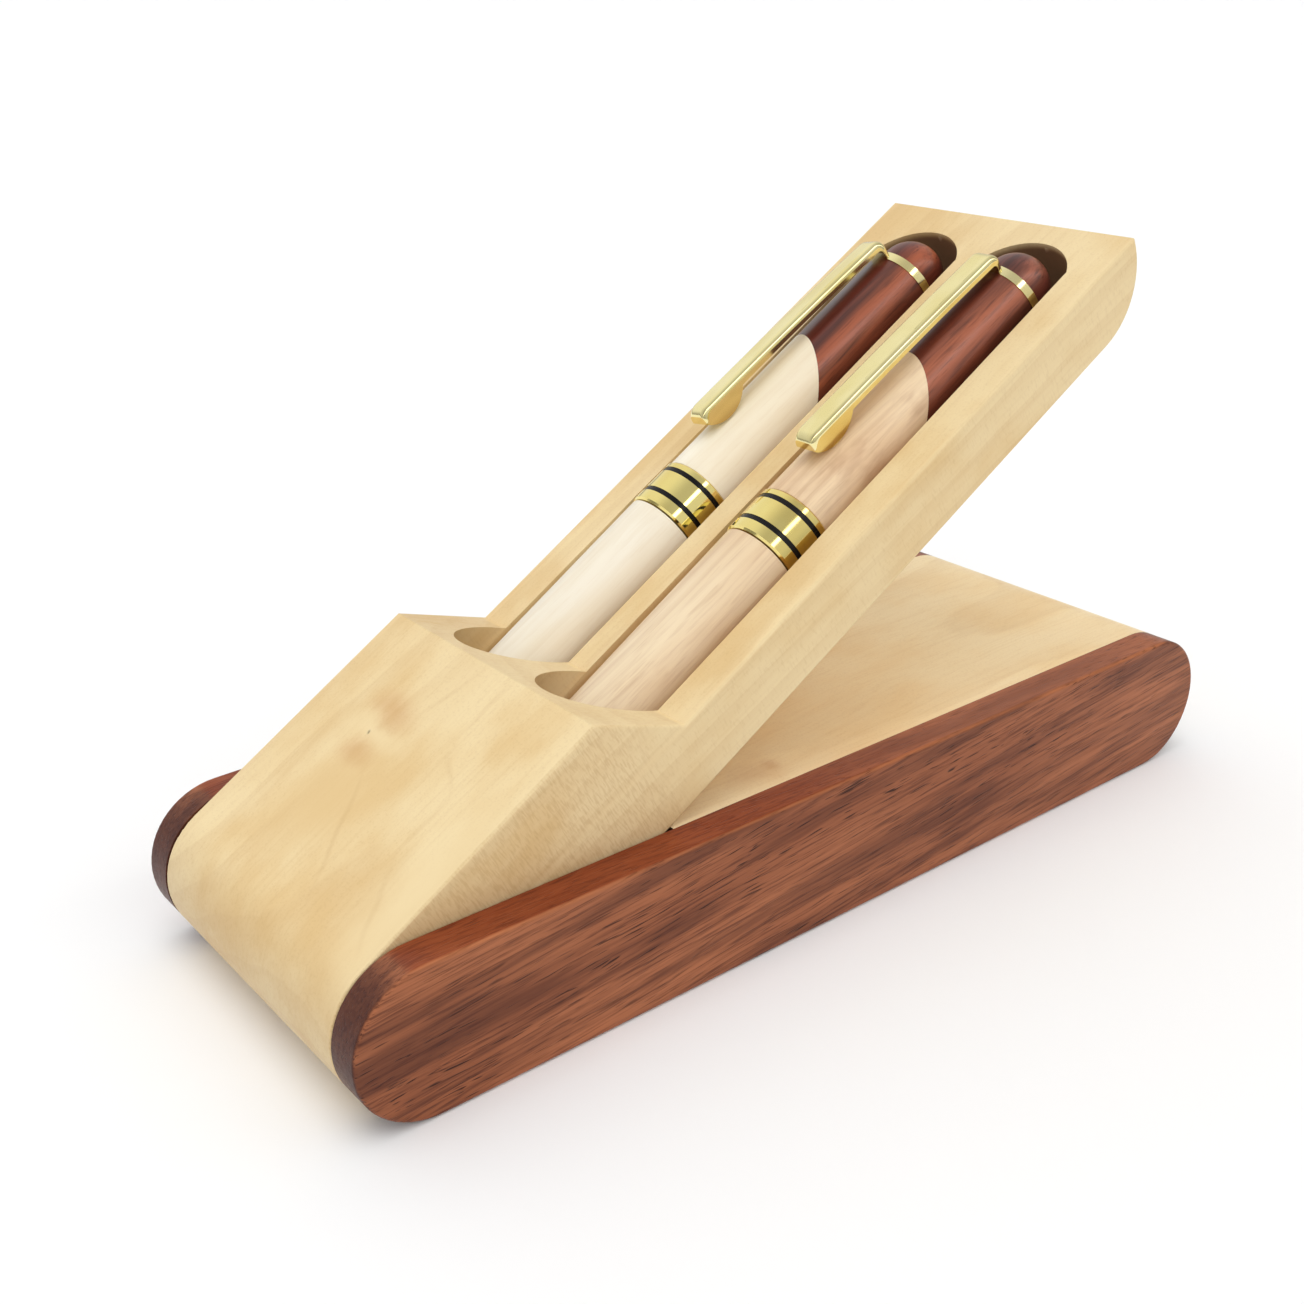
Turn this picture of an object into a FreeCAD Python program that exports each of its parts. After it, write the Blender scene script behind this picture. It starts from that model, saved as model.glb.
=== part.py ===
import FreeCAD, Part
import math
import os
import Sketcher
from FreeCAD import Placement, Rotation, Vector

# Flip-open wooden case for two fountain pens, shown open with the pens in it.
# Two side rails carry a top panel. A tray with a full-height head turns on two hidden pins inside the
# rails' round ends. Closed, it lies under the panel. Open, it has swung right round the end of the case
# and leans on the panel's near edge.
#
# The case is drawn closed: u runs along it from the pivot, y across it (left is +) and n up from the
# pivot. A pen is drawn on its own axis, from its tail. Each piece is then placed in the part's frame,
# which has its origin on the ground under the middle of the case, +X towards the far end and +Z up.

# Driving dimensions, in millimetres and degrees
SIZES = {
    # pen, from the tail to the finial
    "pen_radius": 6.5,
    "tail_taper": 0.6,
    "barrel_end_length": 3.0,
    "barrel_end_round": 1.6,
    "barrel_length": 69.0,
    "cap_gap": 0.3,
    "band_length": 8.5,
    "band_proud": 0.25,
    "band_chamfer": 0.3,
    "band_lower_land": 2.0,
    "band_upper_land": 1.2,
    "inlay_width": 0.85,
    "inlay_depth": 0.6,
    "inlay_recess": 0.08,
    "cap_length": 50.25,
    "cap_wood_wall": 1.3,
    "splice_height": 24.75,
    "splice_slant": 44.0,
    "splice_turn": 11.0,
    "ring_width": 1.5,
    "ring_proud": 0.15,
    "finial_length": 7.7,
    "finial_inset": 1.2,
    # pen clip
    "clip_length": 43.3,
    "clip_width": 4.3,
    "clip_thickness": 1.65,
    "clip_rise": 3.4,
    "clip_lift": 0.9,
    "clip_bow": 0.2,
    "clip_bend": 2.0,
    "clip_inner_bend": 0.8,
    "clip_neck": 1.2,
    "clip_edge_round": 1.0,
    "clip_tip_run": 2.0,
    "clip_tip_drop": 1.0,
    "clip_tip_height": 1.45,
    "lobe_length": 8.9,
    "lobe_radius": 5.9,
    # pen insides
    "tube_wall": 0.4,
    "spigot_wall": 0.4,
    "spigot_length": 5.0,
    "thread_gap": 0.1,
    "plug_length": 8.0,
    "stud_radius": 2.0,
    "stud_length": 6.0,
    "section_wall": 1.65,
    "section_tail": 6.0,
    "grip_length": 17.0,
    "grip_taper": 0.6,
    "grip_bore_depth": 12.0,
    "collar_length": 4.0,
    "feed_length": 15.0,
    "feed_tip_radius": 0.9,
    "nib_sheet": 0.25,
    "nib_length": 20.0,
    "nib_wrap": 150.0,
    "nib_tip_width": 0.5,
    "converter_gap": 0.9,
    "converter_wall": 0.6,
    "converter_length": 50.0,
    "knob_length": 6.0,
    "knob_step": 1.2,
    # where each pen lies: its tail's distance from the pivot, and how far it is rolled to the left
    "left_tail": 9.2,
    "right_tail": 10.6,
    "left_roll": 11.0,
    "right_roll": 0.0,
    "pen_travel": 2.0,
    # tray and head
    "groove_play": 2.0,
    "groove_wall": 0.75,
    "groove_floor": 2.2,
    "groove_nose": 5.2,
    "divider_width": 4.5,
    "end_gap": 2.9,
    "end_wall": 4.15,
    "end_setback": 0.3,
    "head_length": 42.7,
    "ramp_run": 10.6,
    "tunnel_play": 0.25,
    "tunnel_rise": 1.5,
    "tunnel_tilt": 2.5,
    "tail_gap": 0.3,
    "tray_edge_round": 0.4,
    "pen_seat_gap": 0.25,
    # rails, panel and pivot
    "case_width": 63.0,
    "rail_thickness": 5.8,
    "rail_edge_round": 0.6,
    "side_gap": 0.3,
    "lid_gap": 0.35,
    "joint_gap": 0.5,
    "rest_gap": 0.25,
    "recess_gap": 0.9,
    "recess_wall": 4.2,
    "pin_radius": 2.0,
    "pin_cover": 2.2,
    "pin_in_head": 9.0,
    "pin_chamfer": 0.4,
    "pin_fit": 0.05,
    "pin_end_gap": 0.4,
}

# Cuts reach this far past the face that they open through
OVERCUT = 1.0
# Lengths closer than this count as equal when edges are picked
SAME = 1e-3
LEFT = 1
RIGHT = -1
SIDE_NAMES = {LEFT: "left", RIGHT: "right"}

doc = FreeCAD.newDocument("pen_case")
sheet = doc.addObject("Spreadsheet::Sheet", "Sizes")
for row, (alias, size) in enumerate(SIZES.items(), start=1):
    sheet.set(f"A{row}", alias)
    sheet.set(f"B{row}", str(size))
    sheet.setAlias(f"B{row}", alias)
doc.recompute()


class Size:
    """An expression over the sheet's sizes, built up with ordinary arithmetic."""

    def __init__(self, text):
        self.text = str(text)

    def __add__(self, other):
        return Size(f"({self} + {other})")

    def __radd__(self, other):
        return Size(f"({other} + {self})")

    def __sub__(self, other):
        return Size(f"({self} - {other})")

    def __rsub__(self, other):
        return Size(f"({other} - {self})")

    def __mul__(self, other):
        return Size(f"({self} * {other})")

    def __rmul__(self, other):
        return Size(f"({other} * {self})")

    def __truediv__(self, other):
        return Size(f"({self} / {other})")

    def __neg__(self):
        return Size(f"(-1 * {self})")

    def __str__(self):
        return self.text

    def call(self, function):
        return Size(f"{function}({self})")

    def squared(self):
        return self * self

    def number(self):
        result = sheet.evalExpression(self.text)
        return float(getattr(result, "Value", result))


def named(alias):
    return Size(f"Sizes.{alias}")


def arc_radius(half_chord, rise):
    """The radius of an arc that rises this much over its chord."""
    return (half_chord.squared() + rise.squared()) / (2 * rise)


ZERO = Size("0")

# Radii of the pen's nested layers, outside to inside
PEN_R = named("pen_radius")
TAIL_R = PEN_R - named("tail_taper")
BAND_R = PEN_R + named("band_proud")
RING_R = PEN_R + named("ring_proud")
FINIAL_R = PEN_R - named("finial_inset")
CAP_TUBE_R = PEN_R - named("cap_wood_wall")
CAP_BORE_R = CAP_TUBE_R - named("tube_wall")
BAND_BORE_R = CAP_BORE_R - named("spigot_wall")
SECTION_R = BAND_BORE_R - named("thread_gap")
BARREL_TUBE_R = SECTION_R + named("tube_wall")
CONVERTER_R = SECTION_R - named("converter_gap")
GRIP_BORE_R = SECTION_R - named("section_wall")
FEED_R = GRIP_BORE_R - named("nib_sheet")
STUD_R = named("stud_radius")

# Stations along the pen, measured from its tail
BARREL_START = named("barrel_end_length")
BARREL_TOP = BARREL_START + named("barrel_length")
BAND_START = BARREL_TOP + named("cap_gap")
BAND_END = BAND_START + named("band_length")
SPLICE = BAND_END + named("splice_height")
CAP_END = BAND_END + named("cap_length")
RING_END = CAP_END + named("ring_width")
PEN_TOP = RING_END + named("finial_length")
SECTION_BACK = BARREL_TOP - named("section_tail")
CLIP_TIP = CAP_END - named("clip_length")
GRIP_END = BAND_END + named("grip_length")
GRIP_BORE_END = GRIP_END - named("grip_bore_depth")

# Heights about the pivot
GROOVE_R = PEN_R + named("groove_play")
LID_GAP = named("lid_gap")
RIM = -LID_GAP
GROOVE_AXIS = RIM - named("groove_wall")
GROOVE_BOTTOM = GROOVE_AXIS - GROOVE_R
HALF_HEIGHT = named("groove_floor") - GROOVE_BOTTOM
PEN_AXIS = GROOVE_BOTTOM + BAND_R + named("pen_seat_gap")
CLIP_TOP = PEN_R + named("clip_rise")
CLIP_CROWN = CLIP_TOP + named("clip_lift")
RECESS_TOP = PEN_AXIS + CLIP_CROWN + named("clip_bow") + named("recess_gap")

# Places along and across the case
TAILS = {LEFT: named("left_tail"), RIGHT: named("right_tail")}
ROLLS = {LEFT: named("left_roll"), RIGHT: named("right_roll")}
GROOVE_ENDS = {side: tail + PEN_TOP + named("end_gap") for side, tail in TAILS.items()}
NOSE = named("groove_nose")
NOSE_R = arc_radius(GROOVE_R, NOSE)
TRAY_END = GROOVE_ENDS[RIGHT] + named("end_wall")
CASE_END = TRAY_END + named("end_setback")
HEAD_LENGTH = named("head_length")
RAMP_FOOT = HEAD_LENGTH + named("ramp_run")
PANEL_START = HEAD_LENGTH + named("joint_gap")
BEVEL_RUN = named("ramp_run") * HALF_HEIGHT / (HALF_HEIGHT + LID_GAP)
PEN_OFFSET = GROOVE_R + named("divider_width") / 2
RAIL_OUTER = named("case_width") / 2
RAIL_INNER = RAIL_OUTER - named("rail_thickness")
TRAY_HALF = RAIL_INNER - named("side_gap")

# The pivot in the part's frame, and how far the tray stands open
PIVOT_X = (HALF_HEIGHT - CASE_END) / 2
PIVOT_Z = HALF_HEIGHT
OPEN_ANGLE = 2 * (HALF_HEIGHT / PANEL_START).call("atan") + (named("rest_gap") / PANEL_START).call("atan")


def new_body(label):
    body = doc.addObject("PartDesign::Body", label)
    body.Label = label
    body.AllowCompound = True
    return body


def new_sketch(body, name, plane, offset=(ZERO, ZERO, ZERO), turn=ZERO, about=Vector(0, 0, 1)):
    """A sketch on one of the body's origin planes, moved, and turned about an axis of its own."""
    sketch = body.newObject("Sketcher::SketchObject", f"{body.Name}_{name}")
    support = next(item for item in body.Origin.OriginFeatures if item.Role == plane)
    sketch.AttachmentSupport = [(support, "")]
    sketch.MapMode = "FlatFace"
    for axis, amount in zip("xyz", offset):
        sketch.setExpression(f"AttachmentOffset.Base.{axis}", str(amount))
    if turn is not ZERO:
        sketch.AttachmentOffset = Placement(sketch.AttachmentOffset.Base, Rotation(about, turn.number()))
        sketch.setExpression("AttachmentOffset.Rotation.Angle", str(turn))
    return sketch


def side_sketch(body, name, across=ZERO, up=ZERO, along=ZERO, turn=ZERO):
    """A sketch seen from the right side of the case: x is u and y is n, at y = across."""
    return new_sketch(body, name, "XZ_Plane", (along, up, -across), turn)


def arc_between(start, end, radius, turns_left):
    """The arc of under a half circle from start to end, as the sketcher wants it: always turning left."""
    chord = end - start
    left = Vector(-chord.y, chord.x, 0).normalize()
    if not turns_left:
        left = left * -1
    reach = math.sqrt(max(radius ** 2 - (chord.Length / 2) ** 2, 0.0))
    centre = (start + end) / 2 + left * reach
    first, last = (start, end) if turns_left else (end, start)
    begin = math.atan2(first.y - centre.y, first.x - centre.x)
    finish = math.atan2(last.y - centre.y, last.x - centre.x)
    return Part.ArcOfCircle(Part.Circle(centre, Vector(0, 0, 1), radius), begin, finish)


def draw(sketch, corners):
    """A closed outline. A corner is (x, y), or (x, y, radius, turns_left) where an arc leaves it."""
    spots = [Vector(corner[0].number(), corner[1].number(), 0) for corner in corners]
    edges = []
    for index, corner in enumerate(corners):
        start = spots[index]
        end = spots[(index + 1) % len(spots)]
        if len(corner) == 2:
            number = sketch.addGeometry(Part.LineSegment(start, end))
            edges.append((number, 1, 2))
            continue
        radius, turns_left = corner[2:]
        number = sketch.addGeometry(arc_between(start, end, radius.number(), turns_left))
        edges.append((number, 1, 2) if turns_left else (number, 2, 1))
        held = sketch.addConstraint(Sketcher.Constraint("Radius", number, radius.number()))
        sketch.setExpression(f"Constraints[{held}]", str(radius))
    for index, corner in enumerate(corners):
        before = edges[index - 1]
        number, leaving, _ = edges[index]
        sketch.addConstraint(Sketcher.Constraint("Coincident", before[0], before[2], number, leaving))
        for kind, axis_line, amount in (("DistanceX", -2, corner[0]), ("DistanceY", -1, corner[1])):
            if amount is ZERO:
                sketch.addConstraint(Sketcher.Constraint("PointOnObject", number, leaving, axis_line))
                continue
            held = sketch.addConstraint(Sketcher.Constraint(kind, -1, 1, number, leaving, amount.number()))
            sketch.setExpression(f"Constraints[{held}]", str(amount))


def draw_circle(sketch, radius):
    """A circle about the sketch's own origin."""
    number = sketch.addGeometry(Part.Circle(Vector(), Vector(0, 0, 1), radius.number()))
    sketch.addConstraint(Sketcher.Constraint("Coincident", number, 3, -1, 1))
    held = sketch.addConstraint(Sketcher.Constraint("Radius", number, radius.number()))
    sketch.setExpression(f"Constraints[{held}]", str(radius))


def feature(body, kind, sketch, **settings):
    made = body.newObject(f"PartDesign::{kind}", f"{sketch.Name}_{kind}")
    made.Profile = sketch
    for name, setting in settings.items():
        if isinstance(setting, Size):
            made.setExpression(name, str(setting))
        else:
            setattr(made, name, setting)
    body.Tip = made
    return made


def cut(body, kind, sketch, **settings):
    """A Pocket or Groove that has to take wood or metal away."""
    doc.recompute()
    before = body.Shape.Volume
    made = feature(body, kind, sketch, **settings)
    doc.recompute()
    if body.Shape.Volume > before - SAME:
        raise RuntimeError(f"{made.Name} cut nothing")
    return made


def turn_about(sketch, axis="H_Axis"):
    return {"ReferenceAxis": (sketch, [axis]), "Angle": 360.0}


def round_edges(body, base, radius, wanted):
    """A fillet on the edges of base that the wanted test picks."""
    doc.recompute()
    names = [f"Edge{index}" for index, edge in enumerate(base.Shape.Edges, start=1) if wanted(edge)]
    rounded = body.newObject("PartDesign::Fillet", f"{base.Name}_rounded")
    rounded.Base = (base, names)
    rounded.setExpression("Radius", str(radius))
    body.Tip = rounded
    return rounded


def edge_lies_at(edge, axis, place):
    box = edge.BoundBox
    low = getattr(box, f"{axis}Min")
    high = getattr(box, f"{axis}Max")
    return abs(low - place) < SAME and abs(high - place) < SAME


def place_fixed(body):
    """Stand a piece of the fixed case in the part's frame."""
    body.setExpression("Placement.Base.x", str(PIVOT_X))
    body.setExpression("Placement.Base.z", str(PIVOT_Z))


def turn_then_move(axis, angle, move):
    """The expression of a placement that turns a piece about an axis and then moves it."""
    vector = "create(<<vector>>; {}; {}; {})"
    turn = f"create(<<rotation>>; {vector.format(*axis)}; {angle})"
    return f"create(<<placement>>; {vector.format(*move)}; {turn})"


SWUNG_OPEN = turn_then_move((0, -1, 0), OPEN_ANGLE, (PIVOT_X, 0, PIVOT_Z))


def place_in_groove(body, side):
    """Roll a piece of a pen, lay it in its groove and swing it open with the tray."""
    laid = turn_then_move((-1, 0, 0), ROLLS[side], (TAILS[side], side * PEN_OFFSET, PEN_AXIS))
    body.setExpression("Placement", f"{SWUNG_OPEN} * {laid}")


# Case

def rail(side):
    """A side board with bullnose ends and a blind hole for its pivot pin in the inner face."""
    body = new_body(f"{SIDE_NAMES[side]}_rail")
    inner = side * RAIL_INNER
    outline = side_sketch(body, "outline", inner)
    draw(outline, [
        (ZERO, -HALF_HEIGHT),
        (CASE_END - HALF_HEIGHT, -HALF_HEIGHT, HALF_HEIGHT, True),
        (CASE_END, ZERO, HALF_HEIGHT, True),
        (CASE_END - HALF_HEIGHT, HALF_HEIGHT),
        (ZERO, HALF_HEIGHT, HALF_HEIGHT, True),
        (-HALF_HEIGHT, ZERO, HALF_HEIGHT, True),
    ])
    board = feature(body, "Pad", outline, Length=named("rail_thickness"), Reversed=side == LEFT)
    outer = side * RAIL_OUTER.number()
    round_edges(body, board, named("rail_edge_round"), lambda edge: edge_lies_at(edge, "Y", outer))
    hole = side_sketch(body, "pin_hole", inner)
    draw_circle(hole, named("pin_radius"))
    depth = named("rail_thickness") - named("pin_cover")
    cut(body, "Pocket", hole, Length=depth, Reversed=side == RIGHT)
    place_fixed(body)
    return body


def pen_channel(body, side, start):
    """A round-nosed channel along u for a pen, open at its start."""
    sketch = side_sketch(body, f"{SIDE_NAMES[side]}_channel", side * PEN_OFFSET, GROOVE_AXIS)
    end = GROOVE_ENDS[side]
    draw(sketch, [
        (start, ZERO),
        (end, ZERO, NOSE_R, True),
        (end - NOSE, GROOVE_R),
        (start, GROOVE_R),
    ])
    cut(body, "Groove", sketch, **turn_about(sketch))


def top_panel():
    """The fixed panel: flush with the rails, sloped at the head, hollowed below over pens and clips."""
    body = new_body("top_panel")
    outline = side_sketch(body, "outline")
    draw(outline, [
        (PANEL_START + BEVEL_RUN, ZERO),
        (CASE_END, ZERO, HALF_HEIGHT, True),
        (CASE_END - HALF_HEIGHT, HALF_HEIGHT),
        (PANEL_START, HALF_HEIGHT),
    ])
    feature(body, "Pad", outline, Length=2 * RAIL_INNER, SideType="Symmetric")
    for side in (LEFT, RIGHT):
        pen_channel(body, side, HEAD_LENGTH)
    recess = new_sketch(body, "clip_recess", "XY_Plane")
    start = TAILS[LEFT] + CLIP_TIP - named("recess_gap")
    end = TAILS[RIGHT] + RING_END + named("pen_travel") + named("recess_gap")
    half = RAIL_INNER - named("recess_wall")
    draw(recess, [(start, -half), (end, -half), (end, half), (start, half)])
    cut(body, "Pocket", recess, Length=RECESS_TOP, Reversed=True)
    place_fixed(body)
    return body


def pen_tray():
    """The tray and its head in one block: round pivot end, ramp, two pen grooves and two tunnels."""
    body = new_body("pen_tray")
    outline = side_sketch(body, "outline")
    end_reach = (HALF_HEIGHT.squared() - LID_GAP.squared()).call("sqrt")
    draw(outline, [
        (ZERO, -HALF_HEIGHT),
        (TRAY_END - HALF_HEIGHT, -HALF_HEIGHT, HALF_HEIGHT, True),
        (TRAY_END - HALF_HEIGHT + end_reach, RIM),
        (RAMP_FOOT, RIM),
        (HEAD_LENGTH, HALF_HEIGHT),
        (ZERO, HALF_HEIGHT, HALF_HEIGHT, True),
        (-HALF_HEIGHT, ZERO, HALF_HEIGHT, True),
    ])
    block = feature(body, "Pad", outline, Length=2 * TRAY_HALF, SideType="Symmetric")
    flank = TRAY_HALF.number()
    round_edges(body, block, named("tray_edge_round"),
                lambda edge: edge_lies_at(edge, "Y", flank) or edge_lies_at(edge, "Y", -flank))

    for side in (LEFT, RIGHT):
        across = side * PEN_OFFSET
        tunnel_end = TAILS[side] - named("tail_gap")
        pen_channel(body, side, tunnel_end)

        walls = new_sketch(body, f"{SIDE_NAMES[side]}_groove_walls", "XY_Plane", (ZERO, across, RIM))
        end = GROOVE_ENDS[side]
        draw(walls, [
            (HEAD_LENGTH, -GROOVE_R),
            (end - NOSE, -GROOVE_R, NOSE_R, True),
            (end, ZERO, NOSE_R, True),
            (end - NOSE, GROOVE_R),
            (HEAD_LENGTH, GROOVE_R),
        ])
        cut(body, "Pocket", walls, Length=named("groove_wall"))

        mouth = HEAD_LENGTH + named("ramp_run") / 2
        tunnel = side_sketch(body, f"{SIDE_NAMES[side]}_tunnel", across, named("tunnel_rise"), mouth,
                             named("tunnel_tilt"))
        tunnel_r = GROOVE_R + named("tunnel_play")
        draw(tunnel, [
            (tunnel_end - mouth, ZERO),
            (RAMP_FOOT - mouth, ZERO),
            (RAMP_FOOT - mouth, tunnel_r),
            (tunnel_end - mouth, tunnel_r),
        ])
        cut(body, "Groove", tunnel, **turn_about(tunnel))

        hole = side_sketch(body, f"{SIDE_NAMES[side]}_pin_hole", side * TRAY_HALF)
        draw_circle(hole, named("pin_radius") + named("pin_fit"))
        depth = named("pin_in_head") + named("pin_end_gap")
        cut(body, "Pocket", hole, Length=depth, Reversed=side == LEFT)
    body.setExpression("Placement", SWUNG_OPEN)
    return body


def pivot_pins():
    """The two hidden dowels, each tight in its rail and free in the head."""
    body = new_body("pivot_pins")
    sketch = new_sketch(body, "outline", "XY_Plane")
    radius = named("pin_radius")
    chamfer = named("pin_chamfer")
    outer = RAIL_OUTER - named("pin_cover")
    inner = TRAY_HALF - named("pin_in_head")
    for side in (LEFT, RIGHT):
        draw(sketch, [
            (ZERO, side * inner),
            (radius - chamfer, side * inner),
            (radius, side * (inner + chamfer)),
            (radius, side * (outer - chamfer)),
            (radius - chamfer, side * outer),
            (ZERO, side * outer),
        ])
    feature(body, "Revolution", sketch, **turn_about(sketch, "V_Axis"))
    place_fixed(body)
    return body


# Pens, where x runs from the pen's tail and y is the distance from its axis

def turned(side, name, *outlines):
    """A piece turned about the pen's axis, with one solid for each outline."""
    body = new_body(f"{SIDE_NAMES[side]}_pen_{name}")
    sketch = side_sketch(body, "outline")
    for corners in outlines:
        draw(sketch, corners)
    feature(body, "Revolution", sketch, **turn_about(sketch))
    return body


def sleeve(start, end, inner, outer_start, outer_end=None):
    """The half outline of a plain tube, tapered if its two outer radii differ."""
    return [(start, inner), (end, inner), (end, outer_end or outer_start), (start, outer_start)]


def barrel_pieces(side):
    """End piece, wooden sleeve and brass liner of the barrel."""
    corner = named("barrel_end_round")
    end = turned(side, "barrel_end", [
        (ZERO, ZERO),
        (BARREL_START + named("spigot_length"), ZERO),
        (BARREL_START + named("spigot_length"), SECTION_R),
        (BARREL_START, SECTION_R),
        (BARREL_START, TAIL_R),
        (corner, TAIL_R, corner, True),
        (ZERO, TAIL_R - corner),
    ])
    barrel = turned(side, "barrel", sleeve(BARREL_START, BARREL_TOP, BARREL_TUBE_R, TAIL_R, PEN_R))
    tube = turned(side, "barrel_tube", sleeve(BARREL_START, BARREL_TOP, SECTION_R, BARREL_TUBE_R))
    return [end, barrel, tube]


def band_pieces(side):
    """The centre band, pressed into the cap tube, and the two black rings let into it."""
    chamfer = named("band_chamfer")
    floor = BAND_R - named("inlay_depth")
    lower = BAND_START + named("band_lower_land")
    upper = BAND_END - named("band_upper_land") - named("inlay_width")
    slots = [(start, start + named("inlay_width")) for start in (upper, lower)]
    outline = [
        (BAND_START, BAND_BORE_R),
        (BAND_END + named("spigot_length"), BAND_BORE_R),
        (BAND_END + named("spigot_length"), CAP_BORE_R),
        (BAND_END, CAP_BORE_R),
        (BAND_END, BAND_R - chamfer),
        (BAND_END - chamfer, BAND_R),
    ]
    for start, end in slots:
        outline += [(end, BAND_R), (end, floor), (start, floor), (start, BAND_R)]
    outline += [(BAND_START + chamfer, BAND_R), (BAND_START, BAND_R - chamfer)]
    band = turned(side, "centre_band", outline)
    top = BAND_R - named("inlay_recess")
    inlays = turned(side, "band_inlays", *[sleeve(start, end, floor, top) for start, end in slots])
    return [band, inlays]


def cap_sleeve(side, name, keeps_upper):
    """One of the cap's two wooden sleeves, sawn on the slant where they are joined."""
    body = turned(side, name, sleeve(BAND_END, CAP_END, CAP_TUBE_R, PEN_R))
    saw = new_sketch(body, "slant", "XZ_Plane", turn=-named("splice_turn"), about=Vector(1, 0, 0))
    lean = named("splice_slant").call("tan")
    reach = PEN_R + OVERCUT
    far = BAND_END - OVERCUT if keeps_upper else CAP_END + OVERCUT
    corners = [
        (far, -reach),
        (SPLICE - reach * lean, -reach),
        (SPLICE + reach * lean, reach),
        (far, reach),
    ]
    draw(saw, corners)
    cut(body, "Pocket", saw, Length=2 * reach, SideType="Symmetric")
    return body


def cap_pieces(side):
    """Both wooden sleeves of the cap, its brass liner and plug, and the finial with its stud."""
    lower = cap_sleeve(side, "cap_lower", False)
    upper = cap_sleeve(side, "cap_upper", True)
    tube = turned(side, "cap_tube", sleeve(BAND_END, CAP_END, CAP_BORE_R, CAP_TUBE_R))
    plug = turned(side, "cap_plug", sleeve(CAP_END - named("plug_length"), CAP_END, STUD_R, CAP_BORE_R))
    finial = turned(side, "finial", [
        (CAP_END - named("stud_length"), ZERO),
        (PEN_TOP, ZERO, arc_radius(FINIAL_R, named("finial_length")), True),
        (RING_END, FINIAL_R),
        (RING_END, STUD_R),
        (CAP_END - named("stud_length"), STUD_R),
    ])
    return [lower, upper, tube, plug, finial]


def clip(side):
    """A ring held under the finial, and a spring bar that climbs to its tip, with a lobe that rides on the cap."""
    body = new_body(f"{SIDE_NAMES[side]}_pen_clip")
    width = named("clip_width")
    bow = named("clip_bow")
    bend = named("clip_bend")
    inner_bend = named("clip_inner_bend")
    neck_end = CAP_END + named("clip_neck")
    inner_end = CAP_END - inner_bend
    nose_start = CLIP_TIP + named("clip_tip_run")
    nose_low = CLIP_CROWN - named("clip_tip_drop")
    lobe_end = CLIP_TIP + named("lobe_length")
    under = CLIP_TOP - named("clip_thickness")
    under_rise = named("clip_lift") * (inner_end - lobe_end) / (inner_end - CLIP_TIP)
    top_reach = neck_end - bend - nose_start
    top_chord = (top_reach.squared() + named("clip_lift").squared()).call("sqrt")
    under_chord = ((inner_end - lobe_end).squared() + under_rise.squared()).call("sqrt")
    bar = side_sketch(body, "bar")
    draw(bar, [
        (CAP_END, CAP_TUBE_R),
        (neck_end, CAP_TUBE_R),
        (neck_end, CLIP_TOP - bend, bend, True),
        (neck_end - bend, CLIP_TOP, arc_radius(top_chord / 2, bow), True),
        (nose_start, CLIP_CROWN, arc_radius(named("clip_tip_run"), named("clip_tip_drop")), True),
        (CLIP_TIP, nose_low),
        (CLIP_TIP, nose_low - named("clip_tip_height"), named("lobe_radius"), True),
        (lobe_end, under + under_rise, arc_radius(under_chord / 2, bow), False),
        (inner_end, under, inner_bend, False),
        (CAP_END, under - inner_bend),
    ])
    strip = feature(body, "Pad", bar, Length=width, SideType="Symmetric")
    edge_line = (width / 2).number()
    lowest = CLIP_TOP.number() - SAME

    def on_the_crown(edge):
        beside = edge_lies_at(edge, "Y", edge_line) or edge_lies_at(edge, "Y", -edge_line)
        return beside and edge.BoundBox.ZMax > lowest

    round_edges(body, strip, named("clip_edge_round"), on_the_crown)
    ring = side_sketch(body, "ring")
    draw(ring, sleeve(CAP_END, RING_END, STUD_R, RING_R))
    feature(body, "Revolution", ring, **turn_about(ring))
    return body


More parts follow.
